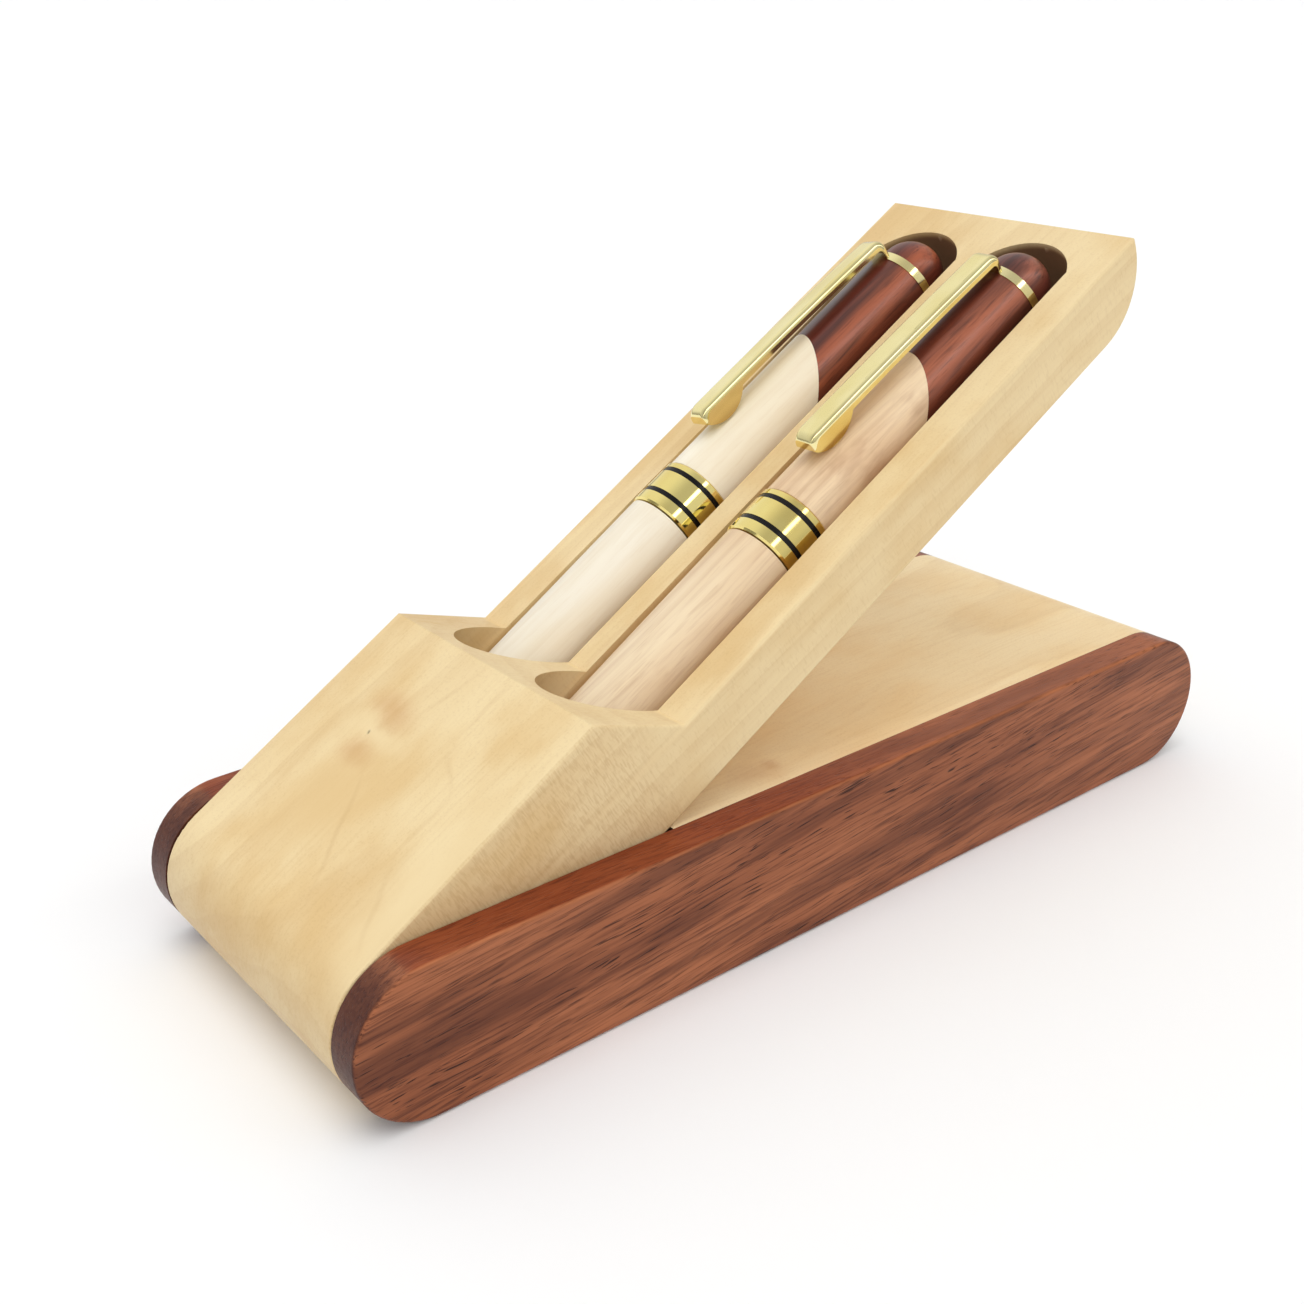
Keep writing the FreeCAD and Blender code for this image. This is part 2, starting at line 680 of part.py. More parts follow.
def writing_pieces(side):
    """What the cap and barrel hide: grip section, feed, nib and ink converter."""
    grip_tip = SECTION_R - named("grip_taper")
    section = turned(side, "grip_section", [
        (SECTION_BACK, ZERO),
        (GRIP_BORE_END, ZERO),
        (GRIP_BORE_END, GRIP_BORE_R),
        (GRIP_END, GRIP_BORE_R),
        (GRIP_END, grip_tip),
        (BAND_END, SECTION_R),
        (SECTION_BACK, SECTION_R),
    ])
    collar_end = GRIP_BORE_END + named("collar_length")
    feed_tip = GRIP_END + named("feed_length")
    feed = turned(side, "feed", [
        (GRIP_BORE_END, ZERO),
        (feed_tip, ZERO),
        (feed_tip, named("feed_tip_radius")),
        (GRIP_END, FEED_R),
        (collar_end, FEED_R),
        (collar_end, GRIP_BORE_R),
        (GRIP_BORE_END, GRIP_BORE_R),
    ])

    nib = new_body(f"{SIDE_NAMES[side]}_pen_nib")
    sheet_outline = side_sketch(nib, "sheet")
    nib_tip = GRIP_END + named("nib_length")
    draw(sheet_outline, sleeve(collar_end, nib_tip, FEED_R, GRIP_BORE_R))
    feature(nib, "Revolution", sheet_outline, ReferenceAxis=(sheet_outline, ["H_Axis"]),
            Angle=named("nib_wrap"), Midplane=True)
    shear = new_sketch(nib, "taper", "XY_Plane")
    half_tip = named("nib_tip_width") / 2
    beyond = nib_tip + OVERCUT
    wide = GRIP_BORE_R + OVERCUT
    for edge in (1, -1):
        draw(shear, [
            (GRIP_END, edge * wide),
            (nib_tip, edge * half_tip),
            (beyond, edge * half_tip),
            (beyond, edge * wide),
        ])
    cut(nib, "Pocket", shear, Length=2 * wide, SideType="Symmetric")

    back = SECTION_BACK - named("converter_length")
    knob_end = back + named("knob_length")
    bore = CONVERTER_R - named("converter_wall")
    converter = turned(side, "converter", [
        (back, ZERO),
        (knob_end + named("knob_length"), ZERO),
        (knob_end + named("knob_length"), bore),
        (SECTION_BACK, bore),
        (SECTION_BACK, CONVERTER_R),
        (knob_end, CONVERTER_R),
        (knob_end, CONVERTER_R - named("knob_step")),
        (back, CONVERTER_R - named("knob_step")),
    ])
    return [section, feed, nib, converter]


def pen(side):
    pieces = barrel_pieces(side) + band_pieces(side) + cap_pieces(side)
    pieces += [clip(side)] + writing_pieces(side)
    for piece in pieces:
        place_in_groove(piece, side)
    return pieces


def check_and_write(pieces):
    """Stop on any failed object, then write each piece to its own file."""
    for item in doc.Objects:
        if "Invalid" in item.State or "Error" in item.State:
            raise RuntimeError(f"{item.Name} failed: {item.State}")
    for piece in pieces:
        if piece.Shape.isNull() or not piece.Shape.isValid():
            raise RuntimeError(f"{piece.Label} has no valid shape")
    os.makedirs("parts", exist_ok=True)
    for piece in pieces:
        piece.Shape.exportStep(f"parts/{piece.Label}.step")
        print(f"{piece.Label}: {len(piece.Shape.Solids)} solids, {piece.Shape.Volume:.1f} mm3")


all_pieces = [rail(LEFT), rail(RIGHT), top_panel(), pen_tray(), pivot_pins()] + pen(LEFT) + pen(RIGHT)
doc.recompute()
check_and_write(all_pieces)
print(f"length {(CASE_END + HALF_HEIGHT).number():.2f}, width {(2 * RAIL_OUTER).number():.2f}, "
      f"height {(2 * HALF_HEIGHT).number():.2f}")
print(f"pivot at x {PIVOT_X.number():.3f}, z {PIVOT_Z.number():.3f}, open {OPEN_ANGLE.number():.3f} degrees")
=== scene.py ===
from collections import namedtuple
import math

import bpy
from mathutils import Matrix, Vector

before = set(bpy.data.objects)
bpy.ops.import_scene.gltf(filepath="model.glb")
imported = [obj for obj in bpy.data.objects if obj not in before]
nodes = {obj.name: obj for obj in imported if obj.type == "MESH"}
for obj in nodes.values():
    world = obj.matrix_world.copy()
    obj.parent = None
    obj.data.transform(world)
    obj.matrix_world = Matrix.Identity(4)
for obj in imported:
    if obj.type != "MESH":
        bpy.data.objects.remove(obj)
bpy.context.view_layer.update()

# Sizes in millimetres, as the part's source has them
TO_MM = 1000.0
HALF_HEIGHT = 11.8
PIVOT_REACH = 73.2
PIVOT = Vector((-PIVOT_REACH, 0.0, HALF_HEIGHT))
OPEN_ANGLE = math.radians(30.887)
RIM = -0.35
PEN_AXIS = -2.6
PEN_OFFSET = 10.75
TRAY_HALF = 25.4
RAIL_OUTER = 31.5
PANEL_TOP = 2 * HALF_HEIGHT
HEAD_LENGTH = 42.7
GROOVE_END = 147.0
GROOVE_RADIUS = 7.5
SIDES = {"left": 1, "right": -1}
ORIGIN = (0.0, 0.0, 0.0)


def tone(red, green, blue):
    """A colour given as it looks on a screen, from 0 to 255, turned into linear light."""
    shares = [channel / 255 for channel in (red, green, blue)]
    linear = [share / 12.92 if share <= 0.04045 else ((share + 0.055) / 1.055) ** 2.4 for share in shares]
    return (*linear, 1.0)


# Shader building blocks

def add(tree, kind, inputs=None, **settings):
    """A shader node with its settings, and its inputs either linked or set."""
    made = tree.nodes.new(kind)
    for name, setting in settings.items():
        setattr(made, name, setting)
    for key, given in (inputs or {}).items():
        if isinstance(given, bpy.types.NodeSocket):
            tree.links.new(given, made.inputs[key])
        else:
            made.inputs[key].default_value = given
    return made


def calculate(tree, operation, first, second=0.0, third=0.0):
    return add(tree, "ShaderNodeMath", {0: first, 1: second, 2: third}, operation=operation).outputs[0]


def times(tree, amount, *factors):
    """The amount multiplied by every factor in turn."""
    for factor in factors:
        amount = calculate(tree, "MULTIPLY", amount, factor)
    return amount


def apart(tree, first, second):
    """How far two amounts lie from each other."""
    return calculate(tree, "ABSOLUTE", calculate(tree, "SUBTRACT", first, second))


def split(tree, vector):
    """The three parts of a vector, under the names X, Y and Z."""
    return add(tree, "ShaderNodeSeparateXYZ", {0: vector}).outputs


def combine(tree, operation, first, second):
    """Two vectors put together, part by part."""
    return add(tree, "ShaderNodeVectorMath", {0: first, 1: second}, operation=operation).outputs[0]


def stretch(tree, vector, factors):
    """The vector with each of its parts multiplied."""
    return combine(tree, "MULTIPLY", vector, factors)


def scaled(tree, vector, factor):
    return add(tree, "ShaderNodeVectorMath", {0: vector, "Scale": factor}, operation="SCALE").outputs[0]


def length_of(tree, vector):
    return add(tree, "ShaderNodeVectorMath", {0: vector}, operation="LENGTH").outputs["Value"]


def noise(tree, vector, detail=2.0, roughness=0.5):
    return add(tree, "ShaderNodeTexNoise", {
        "Vector": vector, "Scale": 1.0, "Detail": detail, "Roughness": roughness,
    }).outputs["Fac"]


def ramp(tree, amount, low, high, out_low=0.0, out_high=1.0):
    """The amount, stretched smoothly from one span on to another and held at its ends."""
    return add(tree, "ShaderNodeMapRange", {
        "Value": amount, "From Min": low, "From Max": high, "To Min": out_low, "To Max": out_high,
    }, interpolation_type="SMOOTHSTEP").outputs["Result"]


def tint(tree, share, under, over):
    """The colour under, covered with the colour over by the given share."""
    return add(tree, "ShaderNodeMix", {0: share, 6: under, 7: over}, data_type="RGBA").outputs[2]


def spot(tree, place, middle, reach, share=1.0):
    """A soft patch round a middle: the share there, falling smoothly to nothing at its reach along each axis."""
    from_middle = combine(tree, "SUBTRACT", place, middle)
    away = length_of(tree, combine(tree, "DIVIDE", from_middle, reach))
    return ramp(tree, away, 0.0, 1.0, share, 0.0)


def swayed(tree, place, amount, guide, scale, detail):
    """Places pushed about by noise that is read at the guide. The amount is in millimetres."""
    push = add(tree, "ShaderNodeTexNoise", {"Vector": guide, "Scale": scale, "Detail": detail}).outputs["Color"]
    centred = combine(tree, "SUBTRACT", push, (0.5, 0.5, 0.5))
    return combine(tree, "ADD", place, scaled(tree, centred, amount))


def frayed(tree, place, amount):
    """Places pushed about, so that a soft patch gets a ragged outline."""
    return swayed(tree, place, amount, place, scale=0.16, detail=4.0)


def new_group(name, inputs, outputs):
    """A shader node group with its input and output sockets."""
    group = bpy.data.node_groups.new(name, "ShaderNodeTree")
    for label, kind in inputs:
        group.interface.new_socket(label, in_out="INPUT", socket_type=f"NodeSocket{kind}")
    for label in outputs:
        group.interface.new_socket(label, in_out="OUTPUT", socket_type="NodeSocketFloat")
    return group, group.nodes.new("NodeGroupInput").outputs, group.nodes.new("NodeGroupOutput").inputs


# Every value named WAVES says how quickly a noise changes, in waves per millimetre along x, y and z. In wood x runs
# with the grain.
SWAY_WAVES = (0.014, 0.055, 0.055)
FIBRE_WAVES = (0.03, 1.5, 1.5)
PORE_WAVES = (0.045, 1.0, 1.0)
CLOUD_WAVES = (0.02, 0.07, 0.07)
STREAK_WAVES = (0.007, 0.4, 0.4)
# The spans of a growth ring over which it darkens, and then pales again
EARLY_WOOD = (0.25, 0.93)
LATE_WOOD = (0.93, 1.0)


def wood_figure_group():
    """Wood in the solid. Growth rings are the distance from the pith, in ring widths, raised so that each ring
    ends in a thin late line. The other four are noise, each drawn out along the grain."""
    group, given, result = new_group(
        "wood_figure",
        [("Grain", "Vector"), ("Ring Width", "Float"), ("Waviness", "Float"), ("Pore Fineness", "Float")],
        ["Rings", "Fibres", "Pores", "Clouds", "Streaks"])
    link = group.links.new
    grain = given["Grain"]
    slow = stretch(group, grain, SWAY_WAVES)
    bent = swayed(group, grain, given["Waviness"], slow, scale=1.0, detail=3.0)
    from_pith = length_of(group, stretch(group, bent, (0.0, 1.0, 1.0)))
    ring = calculate(group, "FRACT", calculate(group, "DIVIDE", from_pith, given["Ring Width"]))
    early = ramp(group, ring, *EARLY_WOOD)
    late = ramp(group, ring, *LATE_WOOD, 1.0, 0.0)
    link(times(group, early, late), result["Rings"])
    link(noise(group, stretch(group, bent, FIBRE_WAVES), 5.0, 0.6), result["Fibres"])
    fine = scaled(group, stretch(group, bent, PORE_WAVES), given["Pore Fineness"])
    link(ramp(group, noise(group, fine, 1.0), 0.6, 0.72), result["Pores"])
    link(noise(group, stretch(group, grain, CLOUD_WAVES), 3.0), result["Clouds"])
    link(noise(group, stretch(group, bent, STREAK_WAVES), 4.0, 0.55), result["Streaks"])
    return group


# How far in from an edge its rubbing and painted highlight are full, and where they end, in millimetres
WEAR_AND_HIGHLIGHT_REACH = (0.15, 0.9)
WEAR_AND_HIGHLIGHT_WAVES = (0.12, 0.5, 0.5)


def edge_wear_and_highlight_group():
    """Rubbing and a painted highlight along an edge where two faces meet: full where both faces are close, and
    broken up by noise.
    """
    group, given, result = new_group(
        "edge_wear_and_highlight", [("Place", "Vector"), ("To One Face", "Float"), ("To Other Face", "Float")], ["Wear"])
    further = calculate(group, "MAXIMUM", given["To One Face"], given["To Other Face"])
    close = ramp(group, further, *WEAR_AND_HIGHLIGHT_REACH, 1.0, 0.0)
    breaks = noise(group, stretch(group, given["Place"], WEAR_AND_HIGHLIGHT_WAVES), 4.0)
    broken = ramp(group, breaks, 0.3, 0.7, 0.35, 1.0)
    group.links.new(times(group, close, broken), result["Wear"])
    return group


SMEAR_WAVES = (0.09, 0.16, 0.16)
SCRATCH_WAVES = (0.35, 9.0, 9.0)


def handling_group():
    """Traces of use on a smooth finish: slow smears, and fine scratches from noise drawn out along x."""
    group, given, result = new_group("handling_marks", [("Place", "Vector")], ["Smears", "Scratches"])
    group.links.new(noise(group, stretch(group, given["Place"], SMEAR_WAVES), 3.0), result["Smears"])
    fine = noise(group, stretch(group, given["Place"], SCRATCH_WAVES), 3.0, 0.65)
    group.links.new(ramp(group, fine, 0.45, 0.75), result["Scratches"])
    return group


WOOD_FIGURE = wood_figure_group()
EDGE_WEAR_AND_HIGHLIGHT = edge_wear_and_highlight_group()
HANDLING = handling_group()


def use(tree, group, inputs):
    return add(tree, "ShaderNodeGroup", inputs, node_tree=group).outputs


def placed(tree, shift=ORIGIN, turn=ORIGIN):
    """Object coordinates in millimetres, turned and then shifted."""
    where = add(tree, "ShaderNodeTexCoord").outputs["Object"]
    return add(tree, "ShaderNodeMapping", {
        "Vector": where, "Location": shift, "Rotation": turn, "Scale": (TO_MM, TO_MM, TO_MM),
    }).outputs[0]


def in_tray(tree, across=0.0, up=0.0):
    """Coordinates along, across and square to the open tray, from the pivot or from a pen's axis."""
    along = PIVOT.x * math.cos(OPEN_ANGLE) + PIVOT.z * math.sin(OPEN_ANGLE)
    square = PIVOT.z * math.cos(OPEN_ANGLE) - PIVOT.x * math.sin(OPEN_ANGLE)
    return placed(tree, (-along, -across, -square - up), (0.0, OPEN_ANGLE, 0.0))


def moved(tree, vector, shift, turn=ORIGIN):
    return add(tree, "ShaderNodeMapping", {"Vector": vector, "Location": shift, "Rotation": turn}).outputs[0]


def in_radians(*angles):
    """Angles given in degrees."""
    return tuple(math.radians(angle) for angle in angles)


def new_material(name):
    material = bpy.data.materials.new(name)
    material.use_nodes = True
    return material, material.node_tree, material.node_tree.nodes["Principled BSDF"].inputs


def relief(tree, height, depth, strength):
    """A bump from a height between 0 and 1, with its full depth in millimetres."""
    return add(tree, "ShaderNodeBump", {
        "Height": height, "Distance": depth / TO_MM, "Strength": strength,
    }).outputs["Normal"]


def link_surface(tree, shader, colour, roughness, normal, specular):
    """Link what changes over the surface to its shader, and set how strongly it mirrors."""
    tree.links.new(colour, shader["Base Color"])
    tree.links.new(roughness, shader["Roughness"])
    tree.links.new(normal, shader["Normal"])
    shader["Specular IOR Level"].default_value = specular


# A board's place in its wood, along the grain and both ways from the pith, the turn of its grain in degrees, and
# the figure that its wood has
Board = namedtuple("Board", "pith turn ring_width waviness pore_fineness")


def wood_figure(tree, place, board):
    """Coordinates in the board's wood, with x along the grain, and the wood's figure there."""
    grain = moved(tree, place, board.pith, in_radians(*board.turn))
    figure = use(tree, WOOD_FIGURE, {
        "Grain": grain, "Ring Width": board.ring_width, "Waviness": board.waviness,
        "Pore Fineness": board.pore_fineness,
    })
    return grain, figure


# How far in from a flat side face the look of that face goes over into the rest, in millimetres
FACE_FADE = (0.1, 0.5)
# How much of the rubbed tone, with a painted highlight, shows where an edge is worn
WEAR_AND_HIGHLIGHT_SHARE = 0.5


def worn_and_lit(tree, place, to_one_face, to_other_face, colour, rubbed):
    """The colour, rubbed and given a painted highlight along the edge where two faces meet."""
    wear_and_highlight = use(tree, EDGE_WEAR_AND_HIGHLIGHT, {
        "Place": place, "To One Face": to_one_face, "To Other Face": to_other_face,
    })["Wear"]
    return tint(tree, times(tree, wear_and_highlight, WEAR_AND_HIGHLIGHT_SHARE), colour, rubbed)


# Maple of the tray and the panel

MAPLE_PALE = tone(243, 220, 172)
MAPLE_DEEP = tone(230, 198, 142)
# The panel's maple, painted lighter than the tray's to make up for the shade that the tray casts on it
PANEL_PALE_LIT = tone(248, 227, 184)
PANEL_DEEP_LIT = tone(243, 215, 165)
MAPLE_LINE = tone(205, 164, 108)
MAPLE_FLECK = tone(190, 146, 92)
MAPLE_KNOT = tone(196, 132, 66)
# Painted shade over duller cut grain, for the round end, the ramp and the flanks
MAPLE_CUT_SHADE = tone(176, 146, 108)
# Painted shade in the grooves, and painted shade with scorch at their far ends
GROOVE_SHADE_BROWN = tone(196, 146, 92)
GROOVE_SCORCH_SHADE = tone(138, 104, 76)
SPECK = tone(70, 48, 30)
TRAY_BOARD = Board((0.0, 14.0, 46.0), (0.0, -2.5, 1.5), ring_width=4.2, waviness=5.0, pore_fineness=2.6)
PANEL_BOARD = Board((0.0, 6.0, 30.0), (0.0, 4.0, -2.0), ring_width=5.0, waviness=9.0, pore_fineness=2.6)
GOLDEN_WAVES = (0.035, 0.06, 0.06)
FLECK_WAVES = (3.0, 2.6, 0.8)
# How much of the rings, the fibres and the flecks shows
RING_SHARE = 0.15
FIBRE_SHARE = 0.2
FLECK_SHARE = 0.12


def maple_colour(tree, grain, figure, pale, deep):
    """Pale wood with golden clouds, faint rings and fibres, and flecks of the rays, which stand square to the
    grain. Gives the colour and the surface's height."""
    golden = noise(tree, stretch(tree, grain, GOLDEN_WAVES), 4.0, 0.55)
    colour = tint(tree, ramp(tree, golden, 0.38, 0.68), pale, deep)
    colour = tint(tree, times(tree, figure["Rings"], RING_SHARE), colour, MAPLE_LINE)
    colour = tint(tree, ramp(tree, figure["Fibres"], 0.42, 0.85, 0.0, FIBRE_SHARE), colour, MAPLE_LINE)
    flecks = ramp(tree, noise(tree, stretch(tree, grain, FLECK_WAVES), 2.0), 0.5, 0.72)
    fleck_share = times(tree, flecks, FLECK_SHARE)
    colour = tint(tree, fleck_share, colour, MAPLE_FLECK)
    height = calculate(tree, "SUBTRACT", figure["Fibres"], fleck_share)
    return colour, height


def finish_maple(tree, shader, colour, height, fibres):
    """Satin maple, a little rougher where its fibres show."""
    roughness = ramp(tree, fibres, 0.3, 0.8, 0.40, 0.54)
    normal = relief(tree, height, depth=0.05, strength=0.35)
    link_surface(tree, shader, colour, roughness, normal, specular=0.25)


# How deep below its face a patch of figure reaches, and how ragged its outline is, in millimetres
PATCH_DEPTH = 6.0
PATCH_RAGGED = 5.0
# The knot on the head: each patch's tone, its middle along and across the tray, its reach both ways, its share
KNOT_PATCHES = (
    (MAPLE_DEEP, (14.0, 5.0), (15.0, 13.0), 0.9),
    (MAPLE_PALE, (10.0, -22.5), (24.0, 9.0), 0.9),
    (MAPLE_KNOT, (21.4, 8.0), (3.2, 6.5), 0.34),
    (MAPLE_KNOT, (29.4, 8.6), (4.6, 8.0), 0.38),
    (MAPLE_PALE, (25.2, 8.0), (2.8, 12.0), 0.7),
    (SPECK, (24.6, 8.7), (0.7, 0.5), 0.7),
)
# Growth lines that run away from the knot: each one's middle, its reach along itself, its turn in degrees and
# its share
GROWTH_LINES = (
    ((11.2, -2.1), 15.0, 31.0, 0.24),
    ((36.0, 1.5), 9.0, -19.0, 0.16),
    ((37.0, -6.6), 9.0, 0.0, 0.18),
    ((27.0, -10.4), 5.5, 55.0, 0.16),
    ((7.0, -18.6), 10.0, 32.0, 0.18),
    ((20.0, -14.2), 9.0, 1.0, 0.14),
    ((14.0, 16.5), 16.0, 4.0, 0.1),
)
# How far a growth line reaches to each side, and how far it wavers, in millimetres
LINE_REACH = 0.8
LINE_WAVER = 1.5


def head_figure(tree, place, colour):
    """The knot on the head and the growth lines that run away from it."""
    ragged = frayed(tree, place, PATCH_RAGGED)
    for patch, (along, across), (length, width), share in KNOT_PATCHES:
        soft = spot(tree, ragged, (along, across, HALF_HEIGHT), (length, width, PATCH_DEPTH), share)
        colour = tint(tree, soft, colour, patch)
    wavering = frayed(tree, place, LINE_WAVER)
    for (along, across), length, turn, share in GROWTH_LINES:
        from_middle = moved(tree, wavering, (-along, -across, -HALF_HEIGHT))
        turned = moved(tree, from_middle, ORIGIN, in_radians(0.0, 0.0, -turn))
        line = spot(tree, turned, ORIGIN, (length, LINE_REACH, PATCH_DEPTH), share)
        colour = tint(tree, line, colour, MAPLE_LINE)
    return colour


# How much of the cut tone, a painted shade over duller cut grain, shows on the round end, on the ramp and on the
# flanks
ROUND_END_SHADE = 0.3
RAMP_SHADE = 0.2
FLANK_SHADE = 0.12
# Rays on the head's flanks, and where along the tray they fade out
RAY_WAVES = (3.6, 2.6, 0.55)
RAY_SHARES = (0.1, 0.34)
RAY_FADE = (42.0, 50.0)


def cut_grain_and_shade(tree, parts, grain, to_flank, colour):
    """Duller wood with painted shade where the grain is cut: the round end, the ramp and the flanks, which have rays
    on the head.
    """
    off_flank = ramp(tree, to_flank, *FACE_FADE)
    on_flank = ramp(tree, to_flank, *FACE_FADE, 1.0, 0.0)
    # Painted shade over the duller cut grain of the round end, the ramp and the flanks
    round_end = ramp(tree, parts["X"], -HALF_HEIGHT, 0.0, ROUND_END_SHADE, 0.0)
    colour = tint(tree, times(tree, round_end, off_flank), colour, MAPLE_CUT_SHADE)
    past_head = ramp(tree, parts["X"], HEAD_LENGTH - 0.3, HEAD_LENGTH + 0.3, 0.0, RAMP_SHADE)
    above_rim = ramp(tree, parts["Z"], RIM + 0.2, RIM + 1.0)
    colour = tint(tree, times(tree, past_head, above_rim, off_flank), colour, MAPLE_CUT_SHADE)
    colour = tint(tree, times(tree, on_flank, FLANK_SHADE), colour, MAPLE_CUT_SHADE)
    rays = ramp(tree, noise(tree, stretch(tree, grain, RAY_WAVES), 2.0), 0.44, 0.66, *RAY_SHARES)
    on_head = ramp(tree, parts["X"], *RAY_FADE, 1.0, 0.0)
    return tint(tree, times(tree, rays, on_head, on_flank), colour, MAPLE_FLECK)


# Where the grooves' painted shade, a brown, begins along the tray, how much of it shows, how long the painted shade
# and scorch at their ends is, and how far and how deep its fringe reaches past them
GROOVE_START = (40.0, 46.0)
GROOVE_SHADE_SHARE = 0.55
SCORCH_SHADE_LENGTH = 8.0
SHADE_FRINGE = 3.0
SHADE_FRINGE_DEPTH = 4.0


def groove_shade(tree, parts, place, to_flank, colour):
    """Painted shade in the grooves: a brown in them, and a darker painted shade with scorch at their far ends and a
    little way round them.
    """
    sunk = ramp(tree, parts["Z"], RIM - 1.4, RIM - 0.1, 1.0, 0.0)
    inside = ramp(tree, to_flank, 1.0, 1.5)
    above_back = ramp(tree, parts["Z"], -HALF_HEIGHT + 0.2, -HALF_HEIGHT + 0.8)
    groove_shade_mask = times(tree, sunk, inside, above_back, ramp(tree, parts["X"], *GROOVE_START))
    # Painted shade: the grooves' brown
    colour = tint(tree, times(tree, groove_shade_mask, GROOVE_SHADE_SHARE), colour, GROOVE_SHADE_BROWN)
    # Painted shade with scorch near the grooves' far ends, and a fringe of it round them
    near_end = ramp(tree, parts["X"], GROOVE_END - SCORCH_SHADE_LENGTH, GROOVE_END)
    colour = tint(tree, times(tree, groove_shade_mask, near_end), colour, GROOVE_SCORCH_SHADE)
    reach = (GROOVE_RADIUS + SHADE_FRINGE, GROOVE_RADIUS + SHADE_FRINGE, SHADE_FRINGE_DEPTH)
    for sign in SIDES.values():
        middle = (GROOVE_END - GROOVE_RADIUS, sign * PEN_OFFSET, RIM)
        shade_fringe = spot(tree, place, middle, reach)
        colour = tint(tree, times(tree, shade_fringe, near_end), colour, GROOVE_SCORCH_SHADE)
    return colour


def tray_maple():
    """The tray's wood: a knot on the head, duller cut grain with painted shade, painted shade in the grooves, and
    edges rubbed paler with a painted highlight.
    """
    material, tree, shader = new_material("tray_maple")
    place = in_tray(tree)
    parts = split(tree, place)
    grain, figure = wood_figure(tree, place, TRAY_BOARD)
    colour, height = maple_colour(tree, grain, figure, MAPLE_PALE, MAPLE_DEEP)
    to_flank = calculate(tree, "SUBTRACT", TRAY_HALF, calculate(tree, "ABSOLUTE", parts["Y"]))
    colour = head_figure(tree, place, colour)
    colour = cut_grain_and_shade(tree, parts, grain, to_flank, colour)
    colour = groove_shade(tree, parts, place, to_flank, colour)
    to_head = apart(tree, parts["Z"], HALF_HEIGHT)
    to_rim = apart(tree, parts["Z"], RIM)
    to_top = calculate(tree, "MINIMUM", to_head, to_rim)
    # Edges rubbed paler, with a painted highlight
    colour = worn_and_lit(tree, place, to_flank, to_top, colour, MAPLE_PALE)
    finish_maple(tree, shader, colour, height, figure["Fibres"])
    return material


# A golden swirl on the panel: patches of the knot's tone, each with its middle, its reach both ways and its share
SWIRL_PATCHES = (
    ((-10.5, -21.0), (8.0, 6.0), 0.28),
    ((-7.5, -20.0), (2.4, 2.4), 0.3),
    ((4.0, -24.0), (22.0, 5.0), 0.12),
)


def panel_maple():
    """The panel's wood: painted paler than the tray's to make up for the tray's shade over it, with the long arcs of
    a flat-sawn board and a golden swirl at one corner.
    """
    material, tree, shader = new_material("panel_maple")
    place = placed(tree)
    grain, figure = wood_figure(tree, place, PANEL_BOARD)
    colour, height = maple_colour(tree, grain, figure, PANEL_PALE_LIT, PANEL_DEEP_LIT)
    ragged = frayed(tree, place, PATCH_RAGGED)
    for (along, across), (length, width), share in SWIRL_PATCHES:
        soft = spot(tree, ragged, (along, across, PANEL_TOP), (length, width, PATCH_DEPTH), share)
        colour = tint(tree, soft, colour, MAPLE_KNOT)
    finish_maple(tree, shader, colour, height, figure["Fibres"])
    return material


# Rosewood of the rails

ROSE_LIGHT = tone(178, 110, 74)
ROSE_MID = tone(150, 88, 58)
ROSE_DARK = tone(74, 38, 30)
ROSE_PORE = tone(40, 20, 16)
# Red with painted shade for the top beside the tray, faded and lighter past it, and painted shade for the ends
ROSE_RED_AND_SHADE = tone(136, 57, 24)
# Rubbed paler, with a painted highlight, on the rails' outer top edge
ROSE_WORN_AND_LIT = tone(200, 122, 74)
ROSE_FADED_AND_LIT = tone(182, 112, 78)
ROSE_END_SHADE = tone(62, 34, 32)
RAIL_BOARD = Board((0.0, 58.0, 22.0), (3.0, 5.5, 1.2), ring_width=3.4, waviness=6.5, pore_fineness=3.4)
BAND_WAVES = (0.022, 0.26, 0.26)
HAIR_WAVES = (0.08, 2.6, 2.6)
# Where along the rail its top goes over from red with painted shade beside the tray to faded and lighter past it,
# out of the tray's shade, and how much of each tone shows there
TRAY_SHADE_SPAN = (-20.0, 30.0)
RED_AND_SHADE_SHARE = 0.7
FADED_AND_LIT_SHARE = 0.35
# How far past the pivot the painted shade on the end sets in, in millimetres, and how much of it shows
END_SHADE_SPAN = (1.0, 9.0)
END_SHADE_SHARE = 0.8
# The rails' rubbed edge, with its painted highlight, is narrower than the tray's by this factor
RAIL_WEAR_AND_HIGHLIGHT_NARROW = 1.8


